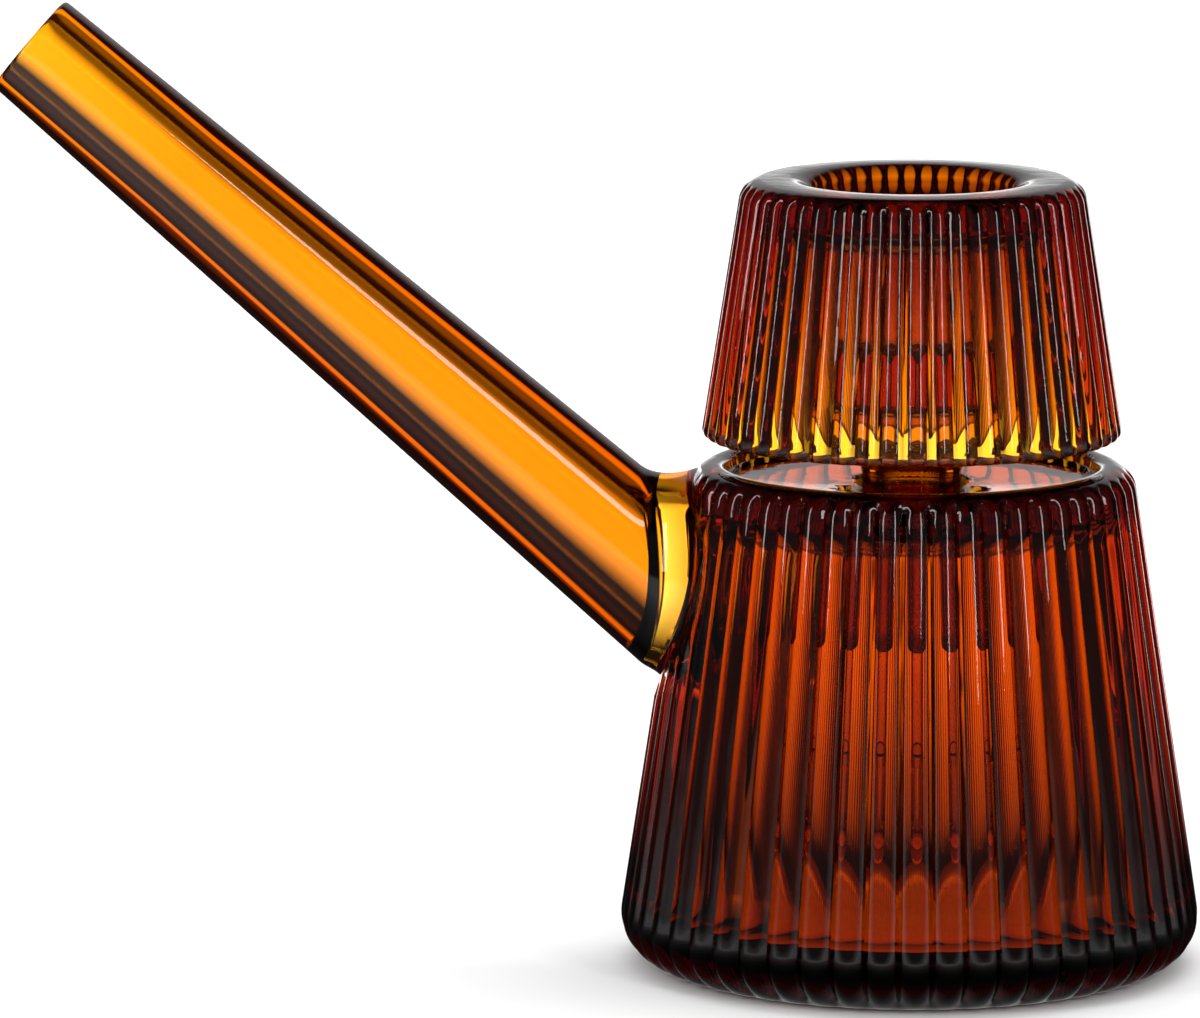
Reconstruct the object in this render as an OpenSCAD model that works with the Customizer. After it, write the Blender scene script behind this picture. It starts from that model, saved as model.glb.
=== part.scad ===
// Two-piece amber glass water pipe: a ribbed chamber with a slanted mouthpiece arm,
// and a lift-out ribbed cap that carries the bowl, the ground joint and the downstem.
// Origin at the centre of the flat base, +Z up, the arm points to -X.

/* [Vessel] */
// Largest outside diameter, over the ribs, just above the foot
vessel_d = 84.4; // [76:0.2:92]
// Height of the vessel's crest above the table
vessel_h = 73.5; // [70:0.5:80]
// Inward lean of the wall from vertical, in degrees
wall_lean = 8.6; // [6:0.2:10]
// Wall thickness, measured from the rib crests
vessel_wall = 5.5; // [4.5:0.25:6.5]
// Thickness of the glass floor
floor_t = 7.6; // [5:0.2:10]
// Rounding of the foot
foot_round = 7; // [4:0.5:9]
// Rounding of the shoulder
shoulder_round = 4; // [3:0.5:5]
// Radius of the dish between the lip and the neck
dish_r = 27.1; // [25:0.1:27.5]

/* [Ribs] */
// Number of ribs around the vessel and around the cap
rib_count = 52; // [40:1:56]
// Radius of the grooves between the ribs at the table, shrinking with the wall
groove_r = 1.0; // [0.6:0.1:1.2]

/* [Neck joint] */
// Large-end diameter of the ground taper joint, standard size 14/23
joint_d = 14.5; // [14.5:0.1:14.5]
// Ground length of the joint
joint_l = 23; // [23:1:23]
// Outside diameter of the socket that hangs from the dish
socket_d = 19; // [18:0.25:20]
// Radial clearance between the cone and the socket
joint_gap = 0.04; // [0.02:0.01:0.08]

/* [Arm] */
// Rise of the arm above horizontal, in degrees
arm_rise = 40.2; // [36:0.2:45]
// Distance of the mouth's centre from the vessel's axis
mouth_x = 128.6; // [110:0.5:140]
// Height of the mouth's centre above the table
mouth_z = 133.8; // [125:0.5:140]
// Outside radius at the mouth
mouth_r = 8.2; // [7.5:0.1:9]
// Outside radius at the root
root_r = 11.1; // [10:0.1:12]
// Bore radius at the mouth
mouth_bore_r = 4.8; // [4:0.1:5.5]
// Bore radius at the root
root_bore_r = 6.3; // [5.5:0.1:6.8]
// Length of straight bore behind the mouth
mouth_bore_l = 30; // [20:1:40]

/* [Cap] */
// Gap between the cap's lower edge and the vessel's crest
cap_gap = 4; // [3:0.25:6]
// Radius of the cap at its lower edge, over the ribs
cap_r = 30.5; // [29:0.1:32]
// Height of the cap
cap_h = 37.6; // [34:0.2:42]
// Thickness of the skirt at its lower edge
skirt_t = 4.5; // [3.5:0.1:5.5]
// Thickness of the skirt where it meets the top
skirt_top_t = 7; // [6:0.1:8]
// Thickness of the solid top
cap_top_t = 6.6; // [5.5:0.1:8]
// Radius of the funnel at its rim
funnel_r = 15; // [14.5:0.1:16]

/* [Bowl and stem] */
// Inside radius of the bowl
bowl_r = 6.8; // [6.2:0.1:7.2]
// Height of the bowl's floor above the cap's lower edge
bowl_floor = 13.9; // [12:0.1:16]
// Thickness of the bowl's floor
seal_t = 8.4; // [5:0.1:9]
// Radius of the draw hole in the bowl's floor
draw_hole_r = 1.5; // [1:0.1:2]
// Outside radius of the downstem
downstem_r = 5.5; // [5.2:0.1:5.7]
// Radius of the bore through the stem
stem_bore_r = 4; // [3.5:0.1:4.2]
// Height of the downstem's tip above the table
tip_z = 14.5; // [12:0.5:20]
// Number of slits in the diffuser
slit_count = 8; // [6:1:10]
// Width of each slit
slit_w = 1.2; // [0.8:0.1:1.5]

/* [Hidden] */
$fn = 96;
fine = 32;      // facets of slim round pieces and of hulled outlines
eps = 0.01;     // overrun of a cutter past the face that it cuts
overrun = 4;    // how far the groove cutters run on past a crest

deep_amber = [0.62, 0.24, 0.03];
clear_amber = [0.93, 0.52, 0.06];

slope = tan(wall_lean);
foot_cx = vessel_d / 2 - foot_round;
// Radius at table level of the straight wall line over the rib crests
wall_r0 = foot_cx + foot_round * cos(wall_lean) + slope * foot_round * (1 + sin(wall_lean));
function wall_r(z) = wall_r0 - slope * z;
shoulder_cz = vessel_h - shoulder_round;
shoulder_cx = wall_r(shoulder_cz + shoulder_round * sin(wall_lean)) - shoulder_round * cos(wall_lean);
lip_round = 1.2;
dish_edge_z = vessel_h - 1.9;
floor_corner = 4;
chamber_top_z = vessel_h - 11.5;

// Neck: the ground joint's large end lies just under the dish
joint_top_z = vessel_h - 3.7;
joint_bottom_z = joint_top_z - joint_l;
joint_taper = 1 / 20;   // change of radius per length of a 1:10 ground taper
joint_r = joint_d / 2;
joint_end_r = joint_r - joint_l * joint_taper;
socket_r = socket_d / 2;
dish_t = 4.8;

// Stem: a collar joins the ground cone to the bowl tube
collar_z = vessel_h - 0.7;
collar_top_z = collar_z + 1.8;
turn_gap = 0.05;

cap_z = vessel_h + cap_gap;
cap_top_z = cap_z + cap_h;
ceiling_z = cap_top_z - cap_top_t;
cap_corner = 3.3;
function cap_wall_r(z) = cap_r - slope * (z - cap_z);
cap_corner_cz = cap_top_z - cap_corner;
cap_corner_cx = cap_wall_r(cap_corner_cz + cap_corner * sin(wall_lean)) - cap_corner * cos(wall_lean);
edge_round = 1;
ceiling_corner = 3;
// The funnel falls from a rounded rim to a ledge, and rounds over into the bowl
rim_round = 3;
ledge_drop = 4.25;
ledge_r = funnel_r - 3.7;
throat_round = cap_top_t - ledge_drop;
bowl_tube_z = collar_top_z + turn_gap;
bowl_floor_z = cap_z + bowl_floor;

// Arm: s runs along the arm's axis from the mouth, down towards the chamber.
// The tube's end is coped to an upright cylinder round the vessel's axis, where it meets the boss.
seam_r = 39;
seam_s = (mouth_x - seam_r) / cos(arm_rise);
arm_reach = seam_s + 12;
mouth_round = 0.8;
// The boss spreads from the tube's end to an oval footprint, sunk behind the wall's surface
boss_half_h = 15;
boss_half_w = 14.5;
boss_z = 56;
boss_sunk = 5;
// Inside the boss the bore opens out to a wide level port through the vessel's wall
port_r = 9;
port_z = 57;

// Points of an arc in the plane of a profile, from angle a0 to angle a1
function arc(cx, cz, r, a0, a1, n = 6) =
    [for (i = [0:n]) let (a = a0 + (a1 - a0) * i / n) [cx + r * cos(a), cz + r * sin(a)]];

function vessel_outline() = concat(
    [[0, 0]],
    arc(foot_cx, foot_round, foot_round, -90, wall_lean, 8),
    arc(shoulder_cx, shoulder_cz, shoulder_round, wall_lean, 90, 8),
    arc(dish_r + lip_round, vessel_h - lip_round, lip_round, 90, 180, 4));

// Grooves between ribs: slim cones whose axes lie on the wall line and meet at its apex
module grooves(r_low, z_low, z_high) {
    run = (z_high - z_low) / cos(wall_lean);
    scale_low = r_low / wall_r0;
    scale_high = (r_low - slope * (z_high - z_low)) / wall_r0;
    for (i = [0:rib_count - 1])
        rotate([0, 0, (i + 0.5) * 360 / rib_count])
            translate([r_low, 0, z_low])
                rotate([0, -wall_lean, 0])
                    cylinder(h = run, r1 = groove_r * scale_low, r2 = groove_r * scale_high, $fn = 24);
}

// Turns a profile given along the arm's axis into its place
module along_arm() {
    translate([-mouth_x, 0, mouth_z]) rotate([0, 90 + arm_rise, 0]) children();
}

// The space on the vessel's side of the coped seam
module inside_seam(r = seam_r) {
    cylinder(h = mouth_z, r = r);
}

function arm_outer_r(s) = mouth_r + (root_r - mouth_r) * s / seam_s;

module arm_outer() {
    along_arm() rotate_extrude() polygon(concat(
        [[0, 0]],
        arc(mouth_r - mouth_round, mouth_round, mouth_round, -90, 0, 4),
        [[arm_outer_r(arm_reach), arm_reach], [0, arm_reach]]));
}

module arm_bore() {
    along_arm() {
        translate([0, 0, -eps]) cylinder(h = mouth_bore_l + 2 * eps, r = mouth_bore_r);
        translate([0, 0, mouth_bore_l])
            cylinder(h = seam_s - mouth_bore_l, r1 = mouth_bore_r, r2 = root_bore_r);
        translate([0, 0, seam_s - eps]) cylinder(h = arm_reach - seam_s + eps, r = root_bore_r);
    }
}

module port() {
    depth = seam_r - wall_r(port_z) + 2 * vessel_wall;
    translate([-seam_r - eps, 0, port_z]) rotate([0, 90, 0]) cylinder(h = depth, r = port_r);
}

module vessel_shell() {
    color(deep_amber) difference() {
        rotate_extrude() polygon(concat(
            vessel_outline(),
            [[dish_r, dish_edge_z - dish_t],
             [wall_r(chamber_top_z) - vessel_wall, chamber_top_z]],
            arc(wall_r(floor_t + floor_corner) - vessel_wall - floor_corner, floor_t + floor_corner,
                floor_corner, 0, -90, 5),
            [[0, floor_t]]));
        grooves(wall_r0, 0, vessel_h + overrun);
        port();
    }
}

module neck_socket() {
    mouth_flare = 0.9;
    under_z = dish_edge_z - dish_t;
    fillet = 3;
    fillet_drop = 1;    // the dish's underside slopes down to the fillet
    color(clear_amber) rotate_extrude() polygon(concat(
        [[dish_r, under_z], [dish_r, dish_edge_z],
         [joint_r + 2 * mouth_flare, joint_top_z + mouth_flare / 3],
         [joint_r, joint_top_z],
         [joint_end_r, joint_bottom_z],
         [socket_r - mouth_flare, joint_bottom_z],
         [socket_r, joint_bottom_z + mouth_flare]],
        arc(socket_r + fillet, under_z - fillet - fillet_drop, fillet, 180, 90, 5)));
}

module arm_tube() {
    color(clear_amber) difference() {
        along_arm() rotate_extrude() polygon(concat(
            arc(mouth_bore_r + mouth_round, mouth_round, mouth_round, 180, 270, 4),
            arc(mouth_r - mouth_round, mouth_round, mouth_round, -90, 0, 4),
            [[arm_outer_r(arm_reach), arm_reach], [root_bore_r, arm_reach],
             [root_bore_r, seam_s], [mouth_bore_r, mouth_bore_l]]));
        inside_seam();
    }
}

module arm_boss() {
    slice = 0.5;
    color(clear_amber) difference() {
        hull() {
            difference() {
                intersection() {
                    arm_outer();
                    inside_seam();
                }
                translate([0, 0, -eps]) scale([1, 1, 1 + eps]) inside_seam(seam_r - slice);
            }
            translate([boss_sunk - wall_r(boss_z), 0, boss_z])
                rotate([0, wall_lean, 0])
                    scale([1, boss_half_w, boss_half_h])
                        rotate([0, 90, 0]) cylinder(h = slice, r = 1, $fn = fine);
        }
        port();
        rotate_extrude() polygon(concat(vessel_outline(), [[0, vessel_h]]));
    }
}

module joint_cone() {
    cone_r = joint_r - joint_gap;
    color(clear_amber) rotate_extrude() polygon([
        [stem_bore_r, joint_bottom_z],
        [joint_end_r - joint_gap, joint_bottom_z],
        [cone_r, joint_top_z],
        [cone_r, collar_z],
        [socket_r, collar_top_z],
        [stem_bore_r, collar_top_z]]);
}

slit_low_z = tip_z + 5.5;
slit_high_z = tip_z + 15;
diffuser_top_z = slit_high_z + 1.5;
diffuser_r = joint_end_r - 0.2;

module downstem() {
    color(clear_amber) translate([0, 0, diffuser_top_z]) difference() {
        cylinder(h = joint_bottom_z - diffuser_top_z, r = downstem_r);
        translate([0, 0, -eps]) cylinder(h = joint_bottom_z - diffuser_top_z + 2 * eps, r = stem_bore_r);
    }
}

module diffuser_tip() {
    tip_round = 3.5;
    tip_t = 2.5;
    bevel = 1;
    color(clear_amber) difference() {
        rotate_extrude() polygon(concat(
            [[0, tip_z]],
            arc(diffuser_r - tip_round, tip_z + tip_round, tip_round, -90, 0, 5),
            [[diffuser_r, diffuser_top_z], [stem_bore_r, diffuser_top_z],
             [stem_bore_r, tip_z + tip_t + bevel], [stem_bore_r - bevel, tip_z + tip_t], [0, tip_z + tip_t]]));
        for (i = [0:slit_count - 1])
            rotate([0, 0, i * 360 / slit_count])
                translate([stem_bore_r / 2, -slit_w / 2, slit_low_z])
                    cube([diffuser_r, slit_w, slit_high_z - slit_low_z]);
    }
}

module cap_shell() {
    skirt_r = cap_r - skirt_t;
    ceiling_r = cap_wall_r(ceiling_z) - skirt_top_t;
    color(deep_amber) difference() {
        rotate_extrude() polygon(concat(
            arc(cap_r - edge_round, cap_z + edge_round, edge_round, -90, wall_lean, 3),
            arc(cap_corner_cx, cap_corner_cz, cap_corner, wall_lean, 90, 6),
            arc(funnel_r + rim_round, cap_top_z - rim_round, rim_round, 90, 162, 4),
            arc(ledge_r, cap_top_z, ledge_drop, -30, -90, 4),
            arc(bowl_r + throat_round, ceiling_z, throat_round, 90, 180, 5),
            [[ceiling_r - ceiling_corner, ceiling_z], [ceiling_r, ceiling_z - ceiling_corner],
             [skirt_r, cap_z + edge_round], [skirt_r + edge_round, cap_z]]));
        grooves(cap_r, cap_z - edge_round, cap_top_z + overrun);
    }
}

module bowl_tube() {
    shoulder_t = 2;
    bore_low_z = bowl_tube_z + shoulder_t;
    bevel = 1;
    color(clear_amber) rotate_extrude() polygon([
        [stem_bore_r, bowl_tube_z], [socket_r, bowl_tube_z], [socket_r, ceiling_z],
        [bowl_r, ceiling_z], [bowl_r, bore_low_z + bevel], [bowl_r - bevel, bore_low_z],
        [stem_bore_r, bore_low_z]]);
}

module bowl_seal() {
    dimple = 1.4;
    color(deep_amber) rotate_extrude() polygon([
        [draw_hole_r, bowl_floor_z - seal_t], [bowl_r, bowl_floor_z - seal_t],
        [bowl_r, bowl_floor_z], [draw_hole_r, bowl_floor_z - dimple]]);
}

vessel_shell();
neck_socket();
arm_boss();
arm_tube();
joint_cone();
downstem();
diffuser_tip();
cap_shell();
bowl_tube();
bowl_seal();
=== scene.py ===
import math

import bmesh
import bpy
import numpy as np
from mathutils import Matrix, Vector


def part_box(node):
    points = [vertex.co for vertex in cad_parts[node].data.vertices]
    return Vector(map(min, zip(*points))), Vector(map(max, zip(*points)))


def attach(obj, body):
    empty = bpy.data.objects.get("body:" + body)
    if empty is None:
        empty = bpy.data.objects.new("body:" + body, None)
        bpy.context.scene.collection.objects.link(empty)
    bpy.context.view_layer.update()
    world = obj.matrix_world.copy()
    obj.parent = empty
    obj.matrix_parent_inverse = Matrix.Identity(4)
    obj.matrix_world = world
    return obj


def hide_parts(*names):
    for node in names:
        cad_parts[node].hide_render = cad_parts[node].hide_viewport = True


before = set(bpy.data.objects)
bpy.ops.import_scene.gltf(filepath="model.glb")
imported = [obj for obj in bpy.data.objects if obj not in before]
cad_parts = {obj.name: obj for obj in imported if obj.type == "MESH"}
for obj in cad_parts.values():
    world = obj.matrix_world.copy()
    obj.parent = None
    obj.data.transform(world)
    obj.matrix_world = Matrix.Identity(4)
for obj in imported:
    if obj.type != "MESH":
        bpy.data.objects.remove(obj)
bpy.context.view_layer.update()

# Lengths are millimetres until a mesh is finished, when it is scaled to the frame's metres.
MM = 0.001


def box_mm(node):
    """The lowest and highest corners of a CAD node, in millimetres."""
    low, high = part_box(node)
    return low / MM, high / MM


# ---------------------------------------------------------------- sizes from the frame
_, VESSEL_HIGH = box_mm("vessel_shell")
CAP_LOW, CAP_HIGH = box_mm("cap_shell")
CONE_LOW, CONE_HIGH = box_mm("joint_cone")
SOCKET_LOW, SOCKET_HIGH = box_mm("neck_socket")
TIP_LOW, TIP_HIGH = box_mm("diffuser_tip")
_, TUBE_HIGH = box_mm("downstem")
BOWL_LOW, BOWL_HIGH = box_mm("bowl_tube")
SEAL_LOW, SEAL_HIGH = box_mm("bowl_seal")

# ---------------------------------------------------------------- design values, as in the CAD part
WALL_LEAN = math.radians(8.6)
RIB_COUNT = 52
FOOT_ROUND = 7.0
SHOULDER_ROUND = 4.0
VESSEL_WALL = 5.5
FLOOR_T = 7.6
DISH_R = SOCKET_HIGH.x
LIP_ROUND = 1.2
DISH_DROP = 1.9
DISH_T = 4.8
VESSEL_R = VESSEL_HIGH.x
VESSEL_H = VESSEL_HIGH.z

JOINT_R = 7.25
JOINT_LENGTH = 23.0
JOINT_TAPER = 1 / 20
JOINT_GAP = 0.04
STEM_BORE_R = 4.0
SOCKET_OUT = CONE_HIGH.x

ARM_RISE = math.radians(40.2)
MOUTH = np.array([-128.6, 0.0, 133.8])
MOUTH_R = 8.2
ROOT_R = 11.1
MOUTH_BORE_R = 4.8
ROOT_BORE_R = 6.3
MOUTH_BORE_L = 30.0
MOUTH_ROUND = 0.8
SEAM_R = 39.0
PORT_R, PORT_Z = 9.0, 57.0

CAP_R = CAP_HIGH.x
CAP_Z = CAP_LOW.z
CAP_TOP_Z = CAP_HIGH.z
CEILING_Z = BOWL_HIGH.z
CAP_CORNER = 3.3
SKIRT_T = 4.5
SKIRT_TOP_T = 7.0
BOWL_R = SEAL_HIGH.x
DRAW_HOLE_R = 1.5
FUNNEL_R = 15.0

# ---------------------------------------------------------------- the visual model's own shapes
RIB_K = 0.82        # sine of the rib's half angle, which sets how deep the grooves are
RIB_SHARP = 18.0    # higher makes the groove's floor sharper

# The boss melts the ribs away over an oval on the wall, centred under the arm
BOSS_Z, BOSS_H, BOSS_W = 57.0, 16.0, 18.5
MELT_EDGE = (1.0, 1.12)    # where the ribs come back, as a share of the oval
MELT_LEVEL = 0.12          # depth of the melted wall, as a share of a rib's radius

SLOPE = math.tan(WALL_LEAN)
CENTRE_R = 0.4      # the base's and the floor's smallest rings, which fans of faces close
AROUND_RIB = 14
AROUND = RIB_COUNT * AROUND_RIB


def arc(cx, cz, r, a0, a1, n):
    """Points of a profile arc from angle a0 to a1, in degrees, as (r, z)."""
    angles = np.radians(np.linspace(a0, a1, n + 1))
    return [(cx + r * math.cos(a), cz + r * math.sin(a)) for a in angles]


def line(start, end, n):
    """n points from start towards end, without end."""
    return [tuple(np.array(start) + (np.array(end) - np.array(start)) * i / n) for i in range(n)]


def smoothstep(x, low, high):
    """Runs smoothly from 0 at low to 1 at high."""
    t = np.clip((x - low) / (high - low), 0, 1)
    return t * t * (3 - 2 * t)


# ---------------------------------------------------------------- mesh building
def grid_mesh(name, rings, closed_loop, cap_start=False, cap_end=False):
    """A closed surface from rings of equal length. closed_loop joins the last ring to the first."""
    rings = [np.asarray(r, float) for r in rings]
    around, count = len(rings[0]), len(rings)
    verts = np.concatenate(rings)
    i = np.arange(around)
    j = (i + 1) % around
    faces = []
    for k in range(count if closed_loop else count - 1):
        a, b = k * around, ((k + 1) % count) * around
        faces += np.stack([a + i, a + j, b + j, b + i], 1).tolist()
    extra = []
    if cap_start:
        extra.append(rings[0].mean(0))
        c = len(verts)
        faces += [[c, int(b), int(a)] for a, b in zip(i, j)]
    if cap_end:
        c = len(verts) + len(extra)
        extra.append(rings[-1].mean(0))
        base = (count - 1) * around
        faces += [[c, base + int(a), base + int(b)] for a, b in zip(i, j)]
    if extra:
        verts = np.concatenate([verts, np.array(extra)])
    first = np.array([verts[f[0]] for f in faces])
    volume = 0.0
    for k in (1, 2):
        second = np.array([verts[f[k]] for f in faces])
        third = np.array([verts[f[min(k + 1, len(f) - 1)]] for f in faces])
        volume += float(np.einsum("ij,ij->", first, np.cross(second, third)))
    if volume < 0:
        faces = [f[::-1] for f in faces]
    mesh = bpy.data.meshes.new(name)
    mesh.from_pydata(verts.tolist(), [], faces)
    obj = bpy.data.objects.new(name, mesh)
    bpy.context.scene.collection.objects.link(obj)
    return obj


def boolean(target, tool, operation):
    """Applies a boolean to target's mesh and removes the tool."""
    modifier = target.modifiers.new("cut", "BOOLEAN")
    modifier.operation = operation
    modifier.solver = "MANIFOLD"
    modifier.object = tool
    bpy.context.view_layer.update()
    graph = bpy.context.evaluated_depsgraph_get()
    made = bpy.data.meshes.new_from_object(target.evaluated_get(graph))
    target.modifiers.clear()
    old = target.data
    target.data = made
    bpy.data.meshes.remove(old)
    bpy.data.objects.remove(tool)


def rib_height(angle):
    """How high the convex rib stands at each angle: 1 at its crest, less in the rounded groove."""
    x = 2 * ((angle * RIB_COUNT / (2 * math.pi)) % 1.0) - 1
    own = np.sqrt(1 - (RIB_K * x) ** 2)
    over = np.sqrt(np.clip(1 - (RIB_K * (2 - np.abs(x))) ** 2, 0, 1))
    return np.log(np.exp(RIB_SHARP * own) + np.exp(RIB_SHARP * over)) / RIB_SHARP


def rib_radius(r):
    """Radius of a rib's own round where the ribs' crests stand at radius r."""
    return math.pi * r / RIB_COUNT / RIB_K


def lathe_rings(profile, weights, melt=None):
    """Rings of a turned profile. weights says how much of the ribs each profile point keeps, and melt
    how much of them is melted away at each place."""
    points = np.array(profile, float)
    tangent = np.gradient(points, axis=0)
    tangent /= np.maximum(np.linalg.norm(tangent, axis=1, keepdims=True), 1e-9)
    normal = np.stack([tangent[:, 1], -tangent[:, 0]], 1)
    angle = np.arange(AROUND) * 2 * math.pi / AROUND
    drop = 1 - rib_height(angle)
    rings = []
    for (r, z), n, w in zip(points, normal, weights):
        rho = rib_radius(r)
        cut = rho * drop * w
        if melt is not None and w > 0:
            m = melt(angle, r, z)
            cut = cut * (1 - m) + m * rho * MELT_LEVEL
        rr = r - cut * n[0]
        zz = z - cut * n[1]
        rings.append(np.stack([rr * np.cos(angle), rr * np.sin(angle), zz + 0 * angle], 1))
    return rings


STRAIGHT_DOT = -0.99999
MERGE_MM = 0.003
SHARP_DEG = 32


def is_straight(vert):
    """Whether a vertex only splits a straight edge in two."""
    if len(vert.link_edges) != 2:
        return False
    first, second = ((e.other_vert(vert).co - vert.co).normalized() for e in vert.link_edges)
    return first.dot(second) < STRAIGHT_DOT


def clean_mesh(mesh):
    """Merges the slivers that the booleans leave, so that the mesh stays closed once it is triangles."""
    bm = bmesh.new()
    bm.from_mesh(mesh)
    bmesh.ops.remove_doubles(bm, verts=bm.verts, dist=MERGE_MM)
    bmesh.ops.dissolve_verts(bm, verts=[v for v in bm.verts if is_straight(v)])
    bmesh.ops.triangulate(bm, faces=[f for f in bm.faces if len(f.verts) > 4])
    bmesh.ops.recalc_face_normals(bm, faces=bm.faces)
    bm.to_mesh(mesh)
    bm.free()


def finish_mesh(obj, body, replaced, material):
    """Scales a piece to metres, shades it and ties it to its body."""
    clean_mesh(obj.data)
    obj.data.transform(Matrix.Scale(MM, 4))
    obj.data.shade_smooth()
    obj.data.set_sharp_from_angle(angle=math.radians(SHARP_DEG))
    obj.data.materials.clear()
    obj.data.materials.append(material)
    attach(obj, body)
    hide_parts(*replaced)
    return obj


# ---------------------------------------------------------------- outline of the vessel
FOOT_CX = VESSEL_R - FOOT_ROUND
WALL_R0 = FOOT_CX + FOOT_ROUND * math.cos(WALL_LEAN) + SLOPE * FOOT_ROUND * (1 + math.sin(WALL_LEAN))


def wall_r(z):
    """Radius over the rib crests at height z on the straight wall."""
    return WALL_R0 - SLOPE * z


SHOULDER_CZ = VESSEL_H - SHOULDER_ROUND
SHOULDER_LOW_Z = SHOULDER_CZ + SHOULDER_ROUND * math.sin(WALL_LEAN)
SHOULDER_CX = wall_r(SHOULDER_LOW_Z) - SHOULDER_ROUND * math.cos(WALL_LEAN)


def envelope_r(z):
    """Radius over the rib crests at height z, the shoulder's curve included."""
    if z <= SHOULDER_LOW_Z:
        return wall_r(z)
    lift = min(z - SHOULDER_CZ, SHOULDER_ROUND)
    return SHOULDER_CX + math.sqrt(SHOULDER_ROUND ** 2 - lift ** 2)


def melt(angle, r, z):
    """How far the boss has melted the ribs away at each angle of a ring: 1 under it, 0 clear of it."""
    lateral = r * np.abs(angle % (2 * math.pi) - math.pi)
    oval = np.sqrt((lateral / BOSS_W) ** 2 + ((z - BOSS_Z) / BOSS_H) ** 2)
    return 1 - smoothstep(oval, *MELT_EDGE)


def make_vessel(material):
    """The chamber with its dished top, the socket that hangs from it, the boss and the arm, in one glass."""
    lean = math.degrees(WALL_LEAN)
    foot = arc(FOOT_CX, FOOT_ROUND, FOOT_ROUND, -90, lean, 16)
    foot_w = [float(smoothstep(a, -82, -55)) for a in np.linspace(-90, lean, 17)]
    shoulder = arc(SHOULDER_CX, SHOULDER_CZ, SHOULDER_ROUND, lean, 90, 14)
    shoulder_w = [1 - float(smoothstep(a, 28, 60)) for a in np.linspace(lean, 90, 15)]
    wall = line(foot[-1], shoulder[0], 30)[1:]
    lip = arc(DISH_R + LIP_ROUND, VESSEL_H - LIP_ROUND, LIP_ROUND, 90, 180, 6)
    dish_z = VESSEL_H - DISH_DROP
    joint_top = SOCKET_LOW.z + JOINT_LENGTH
    joint_end = JOINT_R - JOINT_LENGTH * JOINT_TAPER
    under_z = dish_z - DISH_T
    fillet = 3.0
    dish = [(DISH_R - 0.25, dish_z + 0.1), (DISH_R - 0.9, dish_z - 0.1)]
    dish += line((DISH_R - 2, dish_z - 0.18), (JOINT_R + 2.2, joint_top + 0.55), 6)
    dish += [(JOINT_R + 1.8, joint_top + 0.45), (JOINT_R + 0.9, joint_top + 0.15),
             (JOINT_R + 0.2, joint_top - 0.4)]
    # the socket ends in half a circle, flattened to end_round high
    end_round = 0.8
    end_z = SOCKET_LOW.z + end_round
    end_half = (SOCKET_OUT - joint_end) / 2
    bore = line((JOINT_R - 0.05, joint_top - 1), (joint_end, end_z), 6)
    half_circle = arc((joint_end + SOCKET_OUT) / 2, end_z, end_half, 180, 360, 8)
    socket_end = [(r, end_z + (z - end_z) * end_round / end_half) for r, z in half_circle]
    socket_side = line(socket_end[-1], (SOCKET_OUT, under_z - fillet - 1), 5)[1:]
    under = arc(SOCKET_OUT + fillet, under_z - fillet - 1, fillet, 180, 90, 8)
    under += line((SOCKET_OUT + fillet + 1, under_z - 0.95), (DISH_R - 2.5, under_z), 6)
    chamber_top = VESSEL_H - 11.5
    inner_r = wall_r(chamber_top) - VESSEL_WALL
    under += [(DISH_R - 1.0, under_z - 0.3), (DISH_R + 0.5, under_z - 1.5),
              (inner_r - 0.15, chamber_top + 1.5)]
    corner = 4.0
    floor_r = wall_r(FLOOR_T + corner) - VESSEL_WALL
    inner = line((inner_r, chamber_top), (floor_r, FLOOR_T + corner), 16)
    inner += arc(floor_r - corner, FLOOR_T + corner, corner, 0, -90, 10)
    inner += line((floor_r - corner - 2, FLOOR_T), (CENTRE_R, FLOOR_T), 8)
    base = line((CENTRE_R, 0), (FOOT_CX - 1, 0), 8)
    profile = base + foot + wall + shoulder + lip + dish + bore + socket_end + socket_side + under + inner
    weights = [0.0] * len(base) + foot_w + [1.0] * len(wall) + shoulder_w
    weights += [0.0] * (len(profile) - len(weights))
    rings = lathe_rings(profile, weights, melt)
    vessel = grid_mesh("vessel_glass", rings, False, cap_start=True, cap_end=True)
    starts, flare = make_flare()
    boolean(vessel, make_arm_solid(starts, flare), "UNION")
    boolean(vessel, make_arm_bore(flare), "DIFFERENCE")
    return finish_mesh(vessel, "vessel", ["vessel_shell", "neck_socket", "arm_boss", "arm_tube"],
                       material)


# ---------------------------------------------------------------- arm
ARM_AXIS = np.array([math.cos(ARM_RISE), 0, -math.sin(ARM_RISE)])
ARM_UP = np.array([math.sin(ARM_RISE), 0, math.cos(ARM_RISE)])
ACROSS = np.array([0, 1.0, 0])
SEAM_S = (-MOUTH[0] - SEAM_R) / math.cos(ARM_RISE)
ARM_AROUND = 128
ARM_ALONG = 60
PHIS = np.arange(ARM_AROUND) * 2 * math.pi / ARM_AROUND
# The flare leaves the tube where the tube's outside comes this near to the vessel's axis
FLARE_R = SEAM_R + 0.5
FLARE_STEPS = 18
FLARE_SINK = 0.45
FLARE_PULL = 0.9            # how strongly the flare keeps to the wall, as a share of its length
FLARE_SEARCH = (-30, 10)    # its start is looked for over this stretch, from the seam
BISECTIONS = 40
JUST_BEYOND = 1.001
# Share of the boss's spread and depth in the wall's glass, for the rings that close the arm's solid
BURIED_RINGS = ((0.97, 1.6), (0.8, 2.6), (0.6, 2.6), (0.4, 2.6), (0.2, 2.6), (0.05, 2.6))
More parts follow.
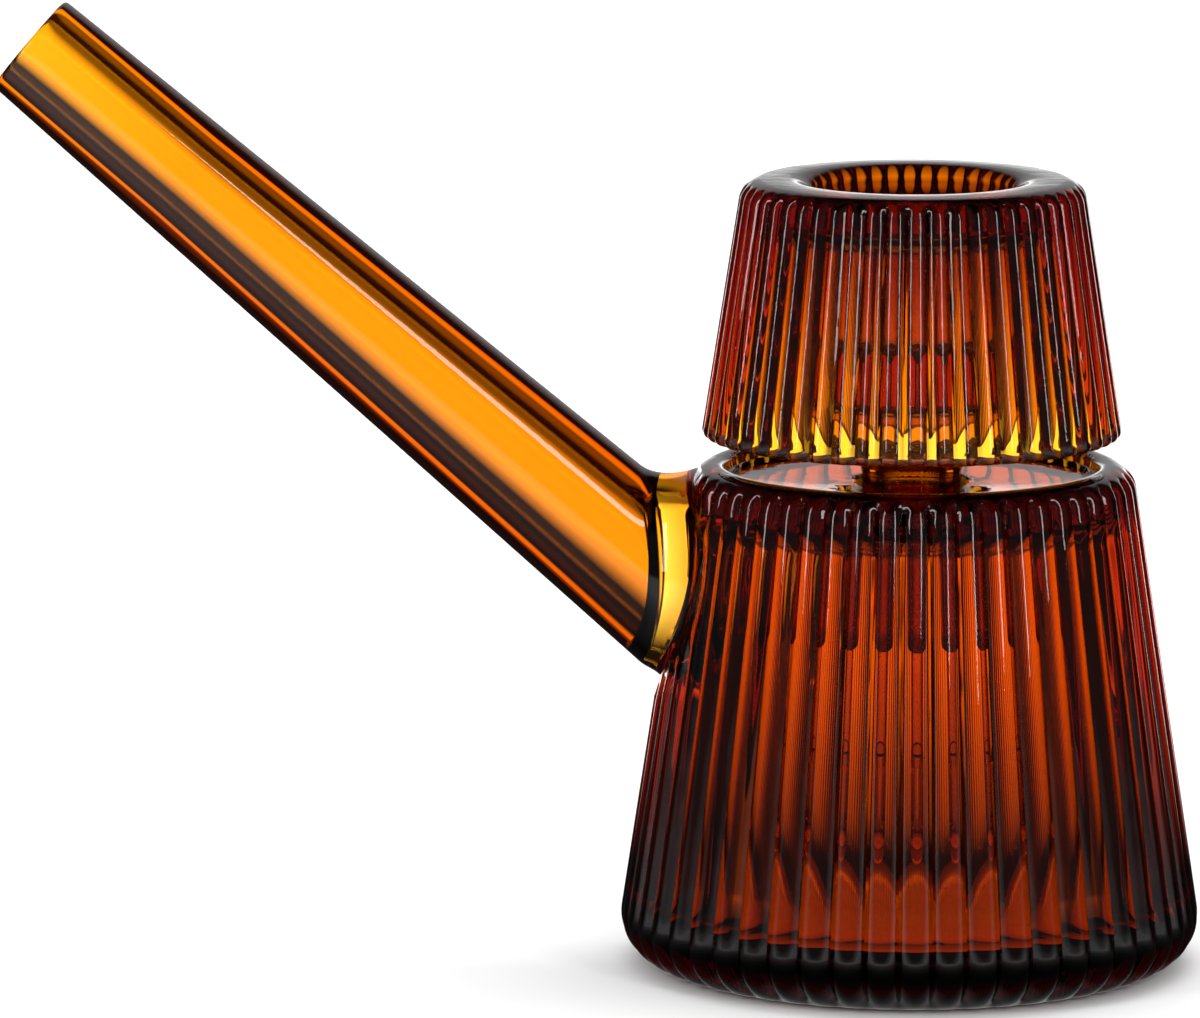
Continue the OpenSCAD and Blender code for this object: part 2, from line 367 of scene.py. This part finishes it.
# The hollow in the boss opens from the tube's bore to a larger share of the flare
BORE_END_S = SEAM_S - 12
BORE_SHARE = 0.57
HOLLOW_STEPS = 13
HOLLOW_SHARE = 0.83
HOLLOW_OPENS = (0.0, 0.28)
HOLLOW_RINGS = ((0.78, 0.5), (0.70, 1.6), (0.60, 3.2))
PORT_X = (-26.0, -22.0)    # the port's cutter ends inside the chamber
CUT_PAST = 2.0


def arm_r(s):
    """Radius of the tube's outside at a distance s along it from the mouth."""
    return MOUTH_R + (ROOT_R - MOUTH_R) * s / SEAM_S


def arm_point(s, phi, r):
    """A point at a distance s along the arm, at an angle round it and a radius from its axis."""
    return MOUTH + s * ARM_AXIS + r * (math.cos(phi) * ARM_UP + math.sin(phi) * ACROSS)


def wall_point(z, lateral, sink):
    """A point on the melted wall at a height and a distance round it, sunk into the glass."""
    r = envelope_r(z)
    r -= rib_radius(r) * MELT_LEVEL
    turn = lateral / r
    r -= sink
    return np.array([-r * math.cos(turn), r * math.sin(turn), z])


def boss_ring(share, depth):
    """A ring of points on the wall under the boss, at a share of its spread and a depth in the glass."""
    return [wall_point(BOSS_Z + BOSS_H * share * math.cos(phi), BOSS_W * share * math.sin(phi), depth)
            for phi in PHIS]


def make_flare():
    """Where the flare starts along the arm at each angle, and its rings from the tube on to the wall."""
    starts = []
    for phi in PHIS:
        low, high = (SEAM_S + end for end in FLARE_SEARCH)
        for _ in range(BISECTIONS):
            mid = (low + high) / 2
            p = arm_point(mid, phi, arm_r(mid))
            if math.hypot(p[0], p[1]) > FLARE_R:
                low = mid
            else:
                high = mid
        starts.append(low)
    ends = boss_ring(1.0, FLARE_SINK)
    beyond = boss_ring(JUST_BEYOND, FLARE_SINK)
    rings = [[] for _ in range(FLARE_STEPS)]
    for phi, s, p1, further in zip(PHIS, starts, ends, beyond):
        p0 = arm_point(s, phi, arm_r(s))
        out = (further - p1) / np.linalg.norm(further - p1)
        chord = np.linalg.norm(p1 - p0)
        d0 = ARM_AXIS * chord
        d1 = out * chord * FLARE_PULL
        for k in range(FLARE_STEPS):
            t = (k + 1) / FLARE_STEPS
            h00, h10 = 2 * t ** 3 - 3 * t ** 2 + 1, t ** 3 - 2 * t ** 2 + t
            h01, h11 = -2 * t ** 3 + 3 * t ** 2, t ** 3 - t ** 2
            rings[k].append(h00 * p0 + h10 * d0 + h01 * p1 + h11 * d1)
    return starts, rings


def make_arm_solid(starts, flare):
    """The tube's outside with the boss that flares on to the vessel's wall, as one closed solid."""
    rings = []
    for r, s in arc(MOUTH_R - MOUTH_ROUND, MOUTH_ROUND, MOUTH_ROUND, -90, 0, 6):
        rings.append([arm_point(s, phi, r) for phi in PHIS])
    for t in np.arange(1, ARM_ALONG + 1) / ARM_ALONG:
        places = [MOUTH_ROUND + (end - MOUTH_ROUND) * t for end in starts]
        rings.append([arm_point(s, phi, arm_r(s)) for phi, s in zip(PHIS, places)])
    rings += flare
    rings += [boss_ring(share, depth) for share, depth in BURIED_RINGS]
    return grid_mesh("arm", rings, False, cap_start=True, cap_end=True)


def make_arm_bore(flare):
    """The cutter for the bore, from its rounded mouth to the hollow in the boss and the port in the wall."""
    profile = [(MOUTH_BORE_R + MOUTH_ROUND, -CUT_PAST)]
    profile += arc(MOUTH_BORE_R + MOUTH_ROUND, MOUTH_ROUND, MOUTH_ROUND, 270, 180, 6)
    profile += line((MOUTH_BORE_R, MOUTH_ROUND + 1), (MOUTH_BORE_R, MOUTH_BORE_L), 8)
    profile += line((MOUTH_BORE_R, MOUTH_BORE_L), (ROOT_BORE_R, BORE_END_S), 30)
    rings = [[arm_point(s, phi, r) for phi in PHIS] for r, s in profile]
    for k, outer in enumerate(flare[:HOLLOW_STEPS]):
        outer = np.array(outer)
        middle = outer.mean(0)
        opened = smoothstep((k + 1) / FLARE_STEPS, *HOLLOW_OPENS)
        share = BORE_SHARE + (HOLLOW_SHARE - BORE_SHARE) * opened
        rings.append(middle + (outer - middle) * share)
    rings += [boss_ring(share, depth) for share, depth in HOLLOW_RINGS]
    for x in PORT_X:
        rings.append([np.array([x, PORT_R * math.sin(phi), PORT_Z + PORT_R * math.cos(phi)]) for phi in PHIS])
    return grid_mesh("arm_bore", rings, False, cap_start=True, cap_end=True)


# ---------------------------------------------------------------- stem
STEM_AROUND = 96
SLIT_COUNT = 8
SLIT_W = 1.2
SLIT_Z = (5.5, 15)      # its ends above the tip
SLIT_X = (2.0, 8.0)     # its cutter runs from inside the bore to outside the tip


def make_stem(material):
    """The ground cone with its collar, the downstem and the slitted diffuser, in one glass."""
    tip_round = 3.5
    tip_r = TIP_HIGH.x
    tube_r = TUBE_HIGH.x
    cone_end = JOINT_R - JOINT_LENGTH * JOINT_TAPER - JOINT_GAP
    cone_r = JOINT_R - JOINT_GAP
    joint_top = CONE_LOW.z + JOINT_LENGTH
    collar_top = CONE_HIGH.z
    collar_z = VESSEL_H - 0.7
    tip_z = TIP_LOW.z
    inner_round = 1.5
    inner_z = tip_z + 2.5
    outside = line((0.3, tip_z), (tip_r - tip_round, tip_z), 3)
    outside += arc(tip_r - tip_round, tip_z + tip_round, tip_round, -90, 0, 8)
    outside += line((tip_r, tip_z + tip_round + 1), (tip_r, TIP_HIGH.z - 0.4), 8)
    outside += [(tip_r - 0.1, TIP_HIGH.z), (tube_r, TIP_HIGH.z + 0.4)]
    outside += line((tube_r, TIP_HIGH.z + 1), (tube_r, CONE_LOW.z - 0.6), 8)
    outside += [(tube_r + 0.15, CONE_LOW.z - 0.15), (cone_end - 0.1, CONE_LOW.z)]
    outside += line((cone_end, CONE_LOW.z + 0.3), (cone_r, joint_top), 12)
    outside += line((cone_r, joint_top), (cone_r, collar_z), 3)
    outside += [(cone_r + 0.25, collar_z + 0.35), (CONE_HIGH.x - 0.5, collar_top - 0.35),
                (CONE_HIGH.x, collar_top)]
    inside = line((CONE_HIGH.x - 0.2, collar_top), (STEM_BORE_R + 0.2, collar_top), 3)
    inside += line((STEM_BORE_R, collar_top), (STEM_BORE_R, inner_z + inner_round), 30)
    inside += arc(STEM_BORE_R - inner_round, inner_z + inner_round, inner_round, 0, -90, 4)
    inside += [(0.3, inner_z)]
    rings = turned_rings(outside + inside, STEM_AROUND)
    stem = grid_mesh("stem_glass", rings, False, cap_start=True, cap_end=True)
    for i in range(SLIT_COUNT):
        boolean(stem, make_slit(i), "DIFFERENCE")
    return finish_mesh(stem, "stem", ["joint_cone", "downstem", "diffuser_tip"], material)


def make_slit(i):
    """A slot with round ends, cut from the diffuser's bore outwards."""
    low, high = (TIP_LOW.z + end for end in SLIT_Z)
    half = SLIT_W / 2
    outline = arc(0, high - half, half, 0, 180, 8) + arc(0, low + half, half, 180, 360, 8)
    turn = Matrix.Rotation(2 * math.pi * i / SLIT_COUNT, 3, "Z")
    rings = []
    for x in SLIT_X:
        rings.append([list(turn @ Vector((x, y, z))) for y, z in outline])
    return grid_mesh("slit", rings, False, cap_start=True, cap_end=True)


def turned_rings(profile, around):
    """Rings of a plain turned profile."""
    angle = np.arange(around) * 2 * math.pi / around
    return [np.stack([r * np.cos(angle), r * np.sin(angle), z + 0 * angle], 1) for r, z in profile]


# ---------------------------------------------------------------- cap
def make_cap(material):
    """The ribbed skirt, its funnelled top and the bowl that hangs inside, in one glass."""
    lean = math.degrees(WALL_LEAN)

    def skirt_out(z):
        return CAP_R - SLOPE * (z - CAP_Z)

    edge = 1.0
    corner_cz = CAP_TOP_Z - CAP_CORNER
    corner_cx = skirt_out(corner_cz + CAP_CORNER * math.sin(WALL_LEAN)) - CAP_CORNER * math.cos(WALL_LEAN)
    low_edge = arc(CAP_R - edge, CAP_Z + edge, edge, -90, lean, 6)
    low_w = [float(smoothstep(a, -100, -40)) for a in np.linspace(-90, lean, 7)]
    top = arc(corner_cx, corner_cz, CAP_CORNER, lean, 90, 12)
    top_w = [1 - float(smoothstep(a, 25, 62)) for a in np.linspace(lean, 90, 13)]
    wall = line(low_edge[-1], top[0], 24)[1:]
    # the top falls from a rounded rim into a steep funnel, then rounds over a ledge into the bowl
    rim_round, ledge_drop = 3.0, 4.25
    throat = CAP_TOP_Z - CEILING_Z - ledge_drop
    funnel = [(FUNNEL_R + rim_round + 1.5, CAP_TOP_Z)]
    funnel += arc(FUNNEL_R + rim_round, CAP_TOP_Z - rim_round, rim_round, 90, 162, 8)
    funnel += arc(FUNNEL_R - 3.7, CAP_TOP_Z, ledge_drop, -33, -90, 6)
    funnel += arc(BOWL_R + throat, CEILING_Z, throat, 90, 180, 6)
    # the bowl's floor is dished towards the draw hole
    bowl_round, hole_edge = 1.8, 0.4
    bowl = line((BOWL_R, CAP_TOP_Z - 9), (BOWL_R, SEAL_HIGH.z + bowl_round), 6)
    bowl += arc(BOWL_R - bowl_round, SEAL_HIGH.z + 1.3, bowl_round, 0, -75, 6)
    bowl += line((BOWL_R - 2.2, SEAL_HIGH.z - 0.62), (DRAW_HOLE_R + hole_edge, SEAL_HIGH.z - 1.35), 4)
    hole = line((DRAW_HOLE_R, SEAL_HIGH.z - 1.9), (DRAW_HOLE_R, SEAL_LOW.z + hole_edge), 4)
    hole += [(DRAW_HOLE_R + hole_edge, SEAL_LOW.z)]
    hole += line((DRAW_HOLE_R + 1, SEAL_LOW.z), (BOWL_R - 1, SEAL_LOW.z), 4)
    hole += arc(BOWL_R - 1, SEAL_LOW.z - 1, 1, 90, 0, 4)
    shoulder_z = BOWL_LOW.z + 2
    lower = line((BOWL_R, SEAL_LOW.z - 2), (BOWL_R, shoulder_z + 1), 3)
    lower += arc(BOWL_R - 1, shoulder_z + 1, 1, 0, -90, 4)
    lower += [(STEM_BORE_R + 0.3, shoulder_z), (STEM_BORE_R, shoulder_z - 0.3),
              (STEM_BORE_R, BOWL_LOW.z + 0.2), (STEM_BORE_R + 0.2, BOWL_LOW.z)]
    tube_r = BOWL_HIGH.x
    lower += line((STEM_BORE_R + 0.8, BOWL_LOW.z), (tube_r - 0.3, BOWL_LOW.z), 3)
    lower += [(tube_r, BOWL_LOW.z + 0.3)]
    fillet = 2.5
    outer_tube = line((tube_r, BOWL_LOW.z + 1), (tube_r, CEILING_Z - fillet), 14)
    outer_tube += arc(tube_r + fillet, CEILING_Z - fillet, fillet, 180, 90, 6)
    ceiling_r = skirt_out(CEILING_Z) - SKIRT_TOP_T
    inner_corner = 3.0
    ceiling = line((tube_r + fillet + 0.6, CEILING_Z), (ceiling_r - inner_corner - 0.5, CEILING_Z), 3)
    ceiling += arc(ceiling_r - inner_corner, CEILING_Z - inner_corner, inner_corner, 90, 0, 6)
    inner = line((ceiling_r + 0.3, CEILING_Z - inner_corner - 1), (CAP_R - SKIRT_T, CAP_Z + edge), 16)
    inner += arc(CAP_R - SKIRT_T + edge, CAP_Z + edge, edge, 180, 270, 5)
    inner += [((2 * CAP_R - SKIRT_T) / 2, CAP_Z)]
    profile = low_edge + wall + top + funnel + bowl + hole + lower + outer_tube + ceiling + inner
    weights = low_w + [1.0] * len(wall) + top_w
    weights += [0.0] * (len(profile) - len(weights))
    rings = lathe_rings(profile, weights)
    cap = grid_mesh("cap_glass", rings, True)
    return finish_mesh(cap, "cap", ["cap_shell", "bowl_tube", "bowl_seal"], material)


# ---------------------------------------------------------------- materials
# Absorption per metre in red, green and blue
ABSORB = np.array([62.0, 205.0, 850.0])
AMBER_DENSITY = float(ABSORB.max())
AMBER_PASS = tuple(float(c) for c in 1 - ABSORB / ABSORB.max())
GLASS_IOR = 1.5
# The pressed glass is a deeper amber than the drawn tube
CLEAR = (1, 1, 1)
PRESSED_TINT = (0.93, 0.64, 0.4)
# painted shade: the cap's base colour darkens towards its top
CAP_TOP_PAINTED_SHADE = (0.68, 0.57, 0.5)
CAP_SHADE_FROM = 16    # how far above the cap's edge, in millimetres, the painted shade on its top sets in
# Where, in metres, the chamber's wall starts from the axis, and the arm from the chamber
WALL_FROM_R = (0.0268, 0.0276)
ARM_FROM_X = (-0.031, -0.036)
ARM_FROM_Z = (0.040, 0.046)
# How far the surface wanders, in metres
RIPPLE = 6e-5
DRAWN = 3e-5
GRAIN = 1e-5
# Roughness, and the spread of a noise's values that it is taken from
NOISE_SPREAD = (0.3, 0.7)
POLISHED = (0.0, 0.035)
FROSTED = (0.12, 0.3)
DRAWN_ROUGHNESS = 0.01
FROST_EDGE = 0.5    # millimetres over which the frost starts and ends
# Noise scales per metre along X, Y and Z
VESSEL_RIPPLE, CAP_RIPPLE = (150, 150, 60), (170, 170, 70)
VESSEL_POLISH, CAP_POLISH = (70, 70, 70), (80, 80, 80)
ARM_STRIAE, STEM_STRIAE = (10, 260, 260), (260, 260, 12)
FROST_SCALE, GRAIN_SCALE = (3000, 3000, 3000), (2500, 2500, 2500)
NOISE_DETAIL = 2.0


def amber_glass(name, build_surface):
    """Clear glass whose amber comes from absorption inside it, so that thick glass is darker."""
    material = bpy.data.materials.new(name)
    material.use_nodes = True
    nodes, links = material.node_tree.nodes, material.node_tree.links
    shader = nodes["Principled BSDF"]
    shader.inputs["Base Color"].default_value = (*CLEAR, 1)
    shader.inputs["Transmission Weight"].default_value = 1.0
    shader.inputs["IOR"].default_value = GLASS_IOR
    volume = nodes.new("ShaderNodeVolumeAbsorption")
    volume.inputs["Color"].default_value = (*AMBER_PASS, 1)
    volume.inputs["Density"].default_value = AMBER_DENSITY
    output = nodes["Material Output"]
    links.new(volume.outputs["Volume"], output.inputs["Volume"])
    place = nodes.new("ShaderNodeTexCoord").outputs["Object"]
    height, roughness, tint = build_surface(material.node_tree, place)
    bump = nodes.new("ShaderNodeBump")
    bump.inputs["Strength"].default_value = 1.0
    bump.inputs["Distance"].default_value = 1.0
    links.new(height, bump.inputs["Height"])
    links.new(bump.outputs["Normal"], shader.inputs["Normal"])
    links.new(roughness, shader.inputs["Roughness"])
    # the base colour: the pressed glass's tint, and on the cap painted shade towards its top
    if tint is not None:
        links.new(tint, shader.inputs["Base Color"])
    return material


def noise(tree, place, scale, turn=0.0):
    """Noise over a place, with its scale per metre along each axis, turned about Y."""
    mapping = tree.nodes.new("ShaderNodeMapping")
    mapping.vector_type = "TEXTURE"
    mapping.inputs["Rotation"].default_value = (0, turn, 0)
    mapping.inputs["Scale"].default_value = tuple(1 / v for v in scale)
    tree.links.new(place, mapping.inputs["Vector"])
    node = tree.nodes.new("ShaderNodeTexNoise")
    node.inputs["Scale"].default_value = 1.0
    node.inputs["Detail"].default_value = NOISE_DETAIL
    tree.links.new(mapping.outputs["Vector"], node.inputs["Vector"])
    return node.outputs["Fac"]


def maths(tree, operation, a, b=0.0):
    """A sum, product or the like of two numbers or sockets. A square root takes only the first."""
    node = tree.nodes.new("ShaderNodeMath")
    node.operation = operation
    for socket, value in zip(node.inputs, (a, b)):
        if isinstance(value, (int, float)):
            socket.default_value = value
        else:
            tree.links.new(value, socket)
    return node.outputs[0]


def ramp(tree, value, low, high, out_low, out_high):
    """Runs straight from out_low where the value is low to out_high where it is high."""
    node = tree.nodes.new("ShaderNodeMapRange")
    for socket, number in zip(list(node.inputs)[1:5], (low, high, out_low, out_high)):
        socket.default_value = number
    tree.links.new(value, node.inputs[0])
    return node.outputs[0]


def blend(tree, share, first, second):
    """A colour that runs from the first to the second."""
    node = tree.nodes.new("ShaderNodeMix")
    node.data_type = "RGBA"
    tree.links.new(share, node.inputs[0])
    node.inputs[6].default_value = (*first, 1)
    node.inputs[7].default_value = (*second, 1)
    return node.outputs[2]


def axis(tree, place, name):
    """The X, Y or Z of a place."""
    node = tree.nodes.new("ShaderNodeSeparateXYZ")
    tree.links.new(place, node.inputs[0])
    return node.outputs[name]


def from_axis(tree, x, y):
    """How far a place is from the object's upright axis."""
    squares = maths(tree, "ADD", maths(tree, "MULTIPLY", x, x), maths(tree, "MULTIPLY", y, y))
    return maths(tree, "SQRT", squares)


def vessel_surface(tree, place):
    """Pressed ripples and a deeper tint on the chamber, and striations drawn along the arm."""
    ripple = maths(tree, "MULTIPLY", noise(tree, place, VESSEL_RIPPLE), RIPPLE)
    drawn = maths(tree, "MULTIPLY", noise(tree, place, ARM_STRIAE, ARM_RISE), DRAWN)
    on_arm = maths(tree, "MULTIPLY", ramp(tree, axis(tree, place, "X"), *ARM_FROM_X, 0, 1),
                   ramp(tree, axis(tree, place, "Z"), *ARM_FROM_Z, 0, 1))
    off_arm = maths(tree, "SUBTRACT", 1.0, on_arm)
    height = maths(tree, "ADD", maths(tree, "MULTIPLY", ripple, off_arm),
                   maths(tree, "MULTIPLY", drawn, on_arm))
    roughness = ramp(tree, noise(tree, place, VESSEL_POLISH), *NOISE_SPREAD, *POLISHED)
    away = from_axis(tree, axis(tree, place, "X"), axis(tree, place, "Y"))
    on_wall = maths(tree, "MULTIPLY", ramp(tree, away, *WALL_FROM_R, 0, 1), off_arm)
    return height, roughness, blend(tree, on_wall, CLEAR, PRESSED_TINT)


def cap_surface(tree, place):
    """Pressed ripples, and painted shade: a base colour that darkens towards the thick top."""
    ripple = maths(tree, "MULTIPLY", noise(tree, place, CAP_RIPPLE), RIPPLE)
    roughness = ramp(tree, noise(tree, place, CAP_POLISH), *NOISE_SPREAD, *POLISHED)
    # painted shade: the base colour darkens from here up to the cap's top
    shade_low = (CAP_Z + CAP_SHADE_FROM) * MM
    shade_share = ramp(tree, axis(tree, place, "Z"), shade_low, CAP_TOP_Z * MM, 0, 1)
    return ripple, roughness, blend(tree, shade_share, CLEAR, CAP_TOP_PAINTED_SHADE)


def joint_surface(tree, place):
    """Drawn tube, with the joint's cone ground to a fine frost."""
    z = axis(tree, place, "Z")
    low, high = CONE_LOW.z, CONE_LOW.z + JOINT_LENGTH
    above = ramp(tree, z, low * MM, (low + FROST_EDGE) * MM, 0, 1)
    below = ramp(tree, z, high * MM, (high + FROST_EDGE) * MM, 1, 0)
    ground = maths(tree, "MULTIPLY", above, below)
    frost = ramp(tree, noise(tree, place, FROST_SCALE), *NOISE_SPREAD, *FROSTED)
    frost = maths(tree, "MULTIPLY", frost, ground)
    grain = maths(tree, "MULTIPLY", noise(tree, place, GRAIN_SCALE), GRAIN)
    grain = maths(tree, "MULTIPLY", grain, ground)
    drawn = maths(tree, "MULTIPLY", noise(tree, place, STEM_STRIAE), DRAWN)
    return maths(tree, "ADD", grain, drawn), maths(tree, "ADD", frost, DRAWN_ROUGHNESS), None


vessel = make_vessel(amber_glass("amber_vessel_glass", vessel_surface))
stem = make_stem(amber_glass("amber_joint_glass", joint_surface))
cap = make_cap(amber_glass("amber_cap_glass", cap_surface))


# ---------------------------------------------------------------- studio
FLOOR_HALF, FLOOR_Z = 2.6, -0.0002
CARD_HALF, CARD_Z = 3.0, -0.0004
FLOOR_GREY = (0.86, 0.86, 0.86)
FLOOR_ROUGHNESS = 0.9
# Brightness of the wall behind, and the cosines of the angle from +Y over which it fades at its sides
WALL_LEVEL = 2.45
WALL_SIDES = (0.83, 0.94)
# Its brightness falls to a share over these sines of elevation, and then to nothing
WALL_HIGH = (0.0, 0.15)
HIGH_SHARE = 0.2
WALL_TOP = (0.55, 0.72)
# The front is lit below the horizon and dim above it
FRONT_SIDES = (0.1, -0.3)
FRONT_LOW = 0.8
FRONT_HIGH = 0.08
HORIZON = (-0.02, 0.04)
DARK_LEVEL = 0.02    # everywhere else
SEEN_LEVEL = 1.0     # the even room that the floor and the backdrop get
# Metres from the object over which the table brightens, and the light gathered under its foot fades
TABLE_FADE = (0.05, 0.27)
UNDER_FADE = (0.025, 0.042)
UNDER_LEVEL = 0.9
# Softboxes: places and sizes in metres, and powers in watts
TOP_PLACE, TOP_AIM, TOP_SIZE, TOP_POWER = (0.0, 0.6, 1.9), (0, 0.3, 0), (1.6, 1.2), 22
SIDE_Z, SIDE_SIZE, SIDE_POWER = 0.79, (0.22, 1.2), 6


def plane(name, half, z):
    """A level square about the origin."""
    corners = [(-half, -half, 0), (half, -half, 0), (half, half, 0), (-half, half, 0)]
    mesh = bpy.data.meshes.new(name)
    mesh.from_pydata(corners, [], [(0, 1, 2, 3)])
    obj = bpy.data.objects.new(name, mesh)
    bpy.context.scene.collection.objects.link(obj)
    obj.location.z = z
    return obj


def make_floor():
    """The pale floor, which only the camera and diffuse light see."""
    floor = plane("floor", FLOOR_HALF, FLOOR_Z)
    material = bpy.data.materials.new("pale_floor")
    material.use_nodes = True
    shader = material.node_tree.nodes["Principled BSDF"]
    shader.inputs["Base Color"].default_value = (*FLOOR_GREY, 1)
    shader.inputs["Roughness"].default_value = FLOOR_ROUGHNESS
    floor.data.materials.append(material)
    # the glass refracts the table card and the studio's walls, not the lit floor
    floor.visible_glossy = False
    floor.visible_transmission = False


def area_lamp(name, place, target, size, power):
    """A softbox that faces its target and is itself hidden from the camera."""
    data = bpy.data.lights.new(name, "AREA")
    data.shape = "RECTANGLE"
    data.size, data.size_y = size
    data.energy = power
    lamp = bpy.data.objects.new(name, data)
    lamp.location = place
    lamp.rotation_euler = (Vector(target) - Vector(place)).to_track_quat("-Z", "Y").to_euler()
    bpy.context.scene.collection.objects.link(lamp)
    lamp.visible_camera = False
    return lamp


def wall_level(tree, y, across, front_level, wall_share):
    """How bright the studio is in a direction, with the wall behind lit and the front less so.

    across is the direction's level length, and y its part towards the wall.
    """
    towards_wall = maths(tree, "DIVIDE", y, across)
    behind = maths(tree, "MULTIPLY", ramp(tree, towards_wall, *WALL_SIDES, 0, 1), WALL_LEVEL)
    behind = maths(tree, "MULTIPLY", behind, wall_share)
    front = maths(tree, "MULTIPLY", ramp(tree, towards_wall, *FRONT_SIDES, 0, 1), front_level)
    return maths(tree, "ADD", behind, front)


def studio_world():
    """A bright wall behind the object, with dark sides and ceiling, so that glass edges read dark."""
    world = bpy.data.worlds.new("studio")
    world.use_nodes = True
    tree = world.node_tree
    direction = tree.nodes.new("ShaderNodeTexCoord").outputs["Generated"]
    x, y, z = (axis(tree, direction, n) for n in "XYZ")
    front = ramp(tree, z, *HORIZON, FRONT_LOW, FRONT_HIGH)
    share = ramp(tree, z, *WALL_HIGH, 1, HIGH_SHARE)
    level = wall_level(tree, y, from_axis(tree, x, y), front, share)
    level = maths(tree, "MULTIPLY", level, ramp(tree, z, *WALL_TOP, 1, 0))
    level = maths(tree, "ADD", level, DARK_LEVEL)
    # the floor and the backdrop are lit by, and seen against, an even pale room
    path = tree.nodes.new("ShaderNodeLightPath")
    seen = maths(tree, "MAXIMUM", path.outputs["Is Camera Ray"], path.outputs["Is Diffuse Ray"])
    mixed = maths(tree, "ADD", maths(tree, "MULTIPLY", level, maths(tree, "SUBTRACT", 1.0, seen)),
                  maths(tree, "MULTIPLY", seen, SEEN_LEVEL))
    tree.links.new(mixed, tree.nodes["Background"].inputs["Strength"])
    tree.nodes["Background"].inputs["Color"].default_value = (1, 1, 1, 1)
    bpy.context.scene.world = world


def make_table_card():
    """What the glass refracts in place of the floor: a dark table that brightens towards the lit wall."""
    card = plane("table_card", CARD_HALF, CARD_Z)
    material = bpy.data.materials.new("table_card")
    material.use_nodes = True
    tree = material.node_tree
    tree.nodes.remove(tree.nodes["Principled BSDF"])
    place = tree.nodes.new("ShaderNodeTexCoord").outputs["Object"]
    x, y = (axis(tree, place, n) for n in "XY")
    away = from_axis(tree, x, y)
    level = wall_level(tree, y, away, FRONT_LOW, 1.0)
    level = maths(tree, "MULTIPLY", level, ramp(tree, away, *TABLE_FADE, 0, 1))
    level = maths(tree, "ADD", level, DARK_LEVEL)
    # the light that the glass gathers on the table under its own foot
    level = maths(tree, "ADD", level, ramp(tree, away, *UNDER_FADE, UNDER_LEVEL, 0))
    glow = tree.nodes.new("ShaderNodeEmission")
    tree.links.new(level, glow.inputs["Strength"])
    tree.links.new(glow.outputs[0], tree.nodes["Material Output"].inputs["Surface"])
    card.data.materials.append(material)
    card.visible_camera = False
    card.visible_diffuse = False
    card.visible_shadow = False


def make_studio():
    make_floor()
    make_table_card()
    studio_world()
    top = area_lamp("top_softbox", TOP_PLACE, TOP_AIM, TOP_SIZE, TOP_POWER)
    # it lights the floor, and neither shows in the glass nor through it
    top.visible_glossy = False
    top.visible_transmission = False
    # these two give the glass its long highlights
    for name, x, y in (("left_softbox", -1.1, -0.9), ("right_softbox", 0.9, -1.1)):
        area_lamp(name, (x, y, SIDE_Z), (0, 0, SIDE_Z), SIDE_SIZE, SIDE_POWER)


# ---------------------------------------------------------------- camera
# Angles in degrees, lengths in metres, with the width of the view at the target
CAM_AZIMUTH = 4.0
CAM_ELEVATION = 9.4
CAM_DISTANCE = 1.4
CAM_WIDTH = 0.1750
CAM_TARGET = (-0.0454, 0.0, 0.0661)
SENSOR_MM = 36


def make_camera():
    """The camera, set back from its target by azimuth, elevation and distance."""
    data = bpy.data.cameras.new("camera")
    camera = bpy.data.objects.new("camera", data)
    bpy.context.scene.collection.objects.link(camera)
    azimuth, elevation = math.radians(CAM_AZIMUTH), math.radians(CAM_ELEVATION)
    level = math.cos(elevation)
    back = Vector((math.sin(azimuth) * level, -math.cos(azimuth) * level, math.sin(elevation)))
    camera.location = Vector(CAM_TARGET) + back * CAM_DISTANCE
    camera.rotation_euler = back.to_track_quat("Z", "Y").to_euler()
    data.sensor_width = SENSOR_MM
    data.lens = SENSOR_MM * CAM_DISTANCE / CAM_WIDTH
    data.clip_start, data.clip_end = 0.05, 50
    bpy.context.scene.camera = camera


make_studio()
make_camera()

# Light has to pass through many walls of glass
scene = bpy.context.scene
scene.view_settings.view_transform = "Standard"
scene.cycles.max_bounces = 24
scene.cycles.transmission_bounces = 24
scene.cycles.glossy_bounces = 12
scene.cycles.diffuse_bounces = 3
scene.cycles.transparent_max_bounces = 8
scene.cycles.sample_clamp_indirect = 4.0
